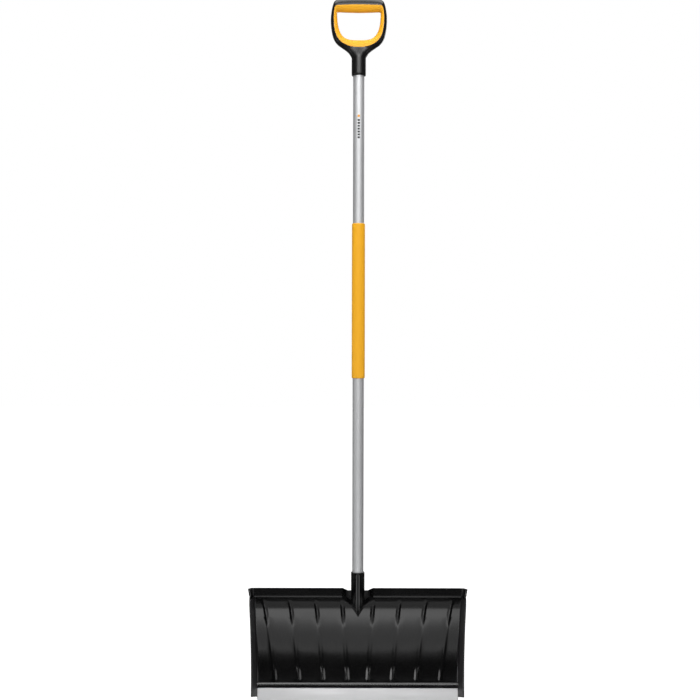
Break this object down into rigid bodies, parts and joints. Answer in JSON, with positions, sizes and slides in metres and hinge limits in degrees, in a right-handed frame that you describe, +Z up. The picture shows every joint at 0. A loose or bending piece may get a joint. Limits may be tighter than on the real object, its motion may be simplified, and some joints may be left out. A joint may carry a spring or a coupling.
{
  "type": "snow pusher",
  "caption": "Snow pusher with a wide ribbed scoop blade and metal wear edge, on a long straight tube with a mid grip and a D-handle.",
  "frame": {"origin": "middle of the wear edge's ground face, at the middle of the blade's width", "axes": "+Z up along the shaft, the blade's hollow front faces -Y, X along the blade"},
  "size_m": [0.4894, 0.1174, 1.5995],
  "materials": {
    "black_plastic": "semi-gloss, moulded",
    "amber_grip": "soft touch, matt",
    "anodised_aluminium": "satin anodised",
    "bare_aluminium": "rolled, bare",
    "black_plug_plastic": "matt, moulded",
    "zinc_steel": "zinc plated"
  },
  "bodies": {
    "root": {"blade": "black_plastic", "handle_frame": "black_plastic", "handle_grip": "amber_grip", "mid_grip": "amber_grip", "shaft_tube": "anodised_aluminium", "tube_end_plug": "black_plug_plastic", "wear_edge": "bare_aluminium", "edge_screw_1": "zinc_steel", "edge_screw_2": "zinc_steel", "edge_screw_3": "zinc_steel", "edge_screw_4": "zinc_steel", "edge_screw_5": "zinc_steel", "edge_screw_6": "zinc_steel", "edge_screw_7": "zinc_steel", "edge_screw_8": "zinc_steel", "socket_screw_1": "zinc_steel", "socket_screw_1_washer": "zinc_steel", "socket_screw_2": "zinc_steel", "socket_screw_2_washer": "zinc_steel", "handle_screw": "zinc_steel", "handle_screw_washer": "zinc_steel"}
  },
  "joints": []
}
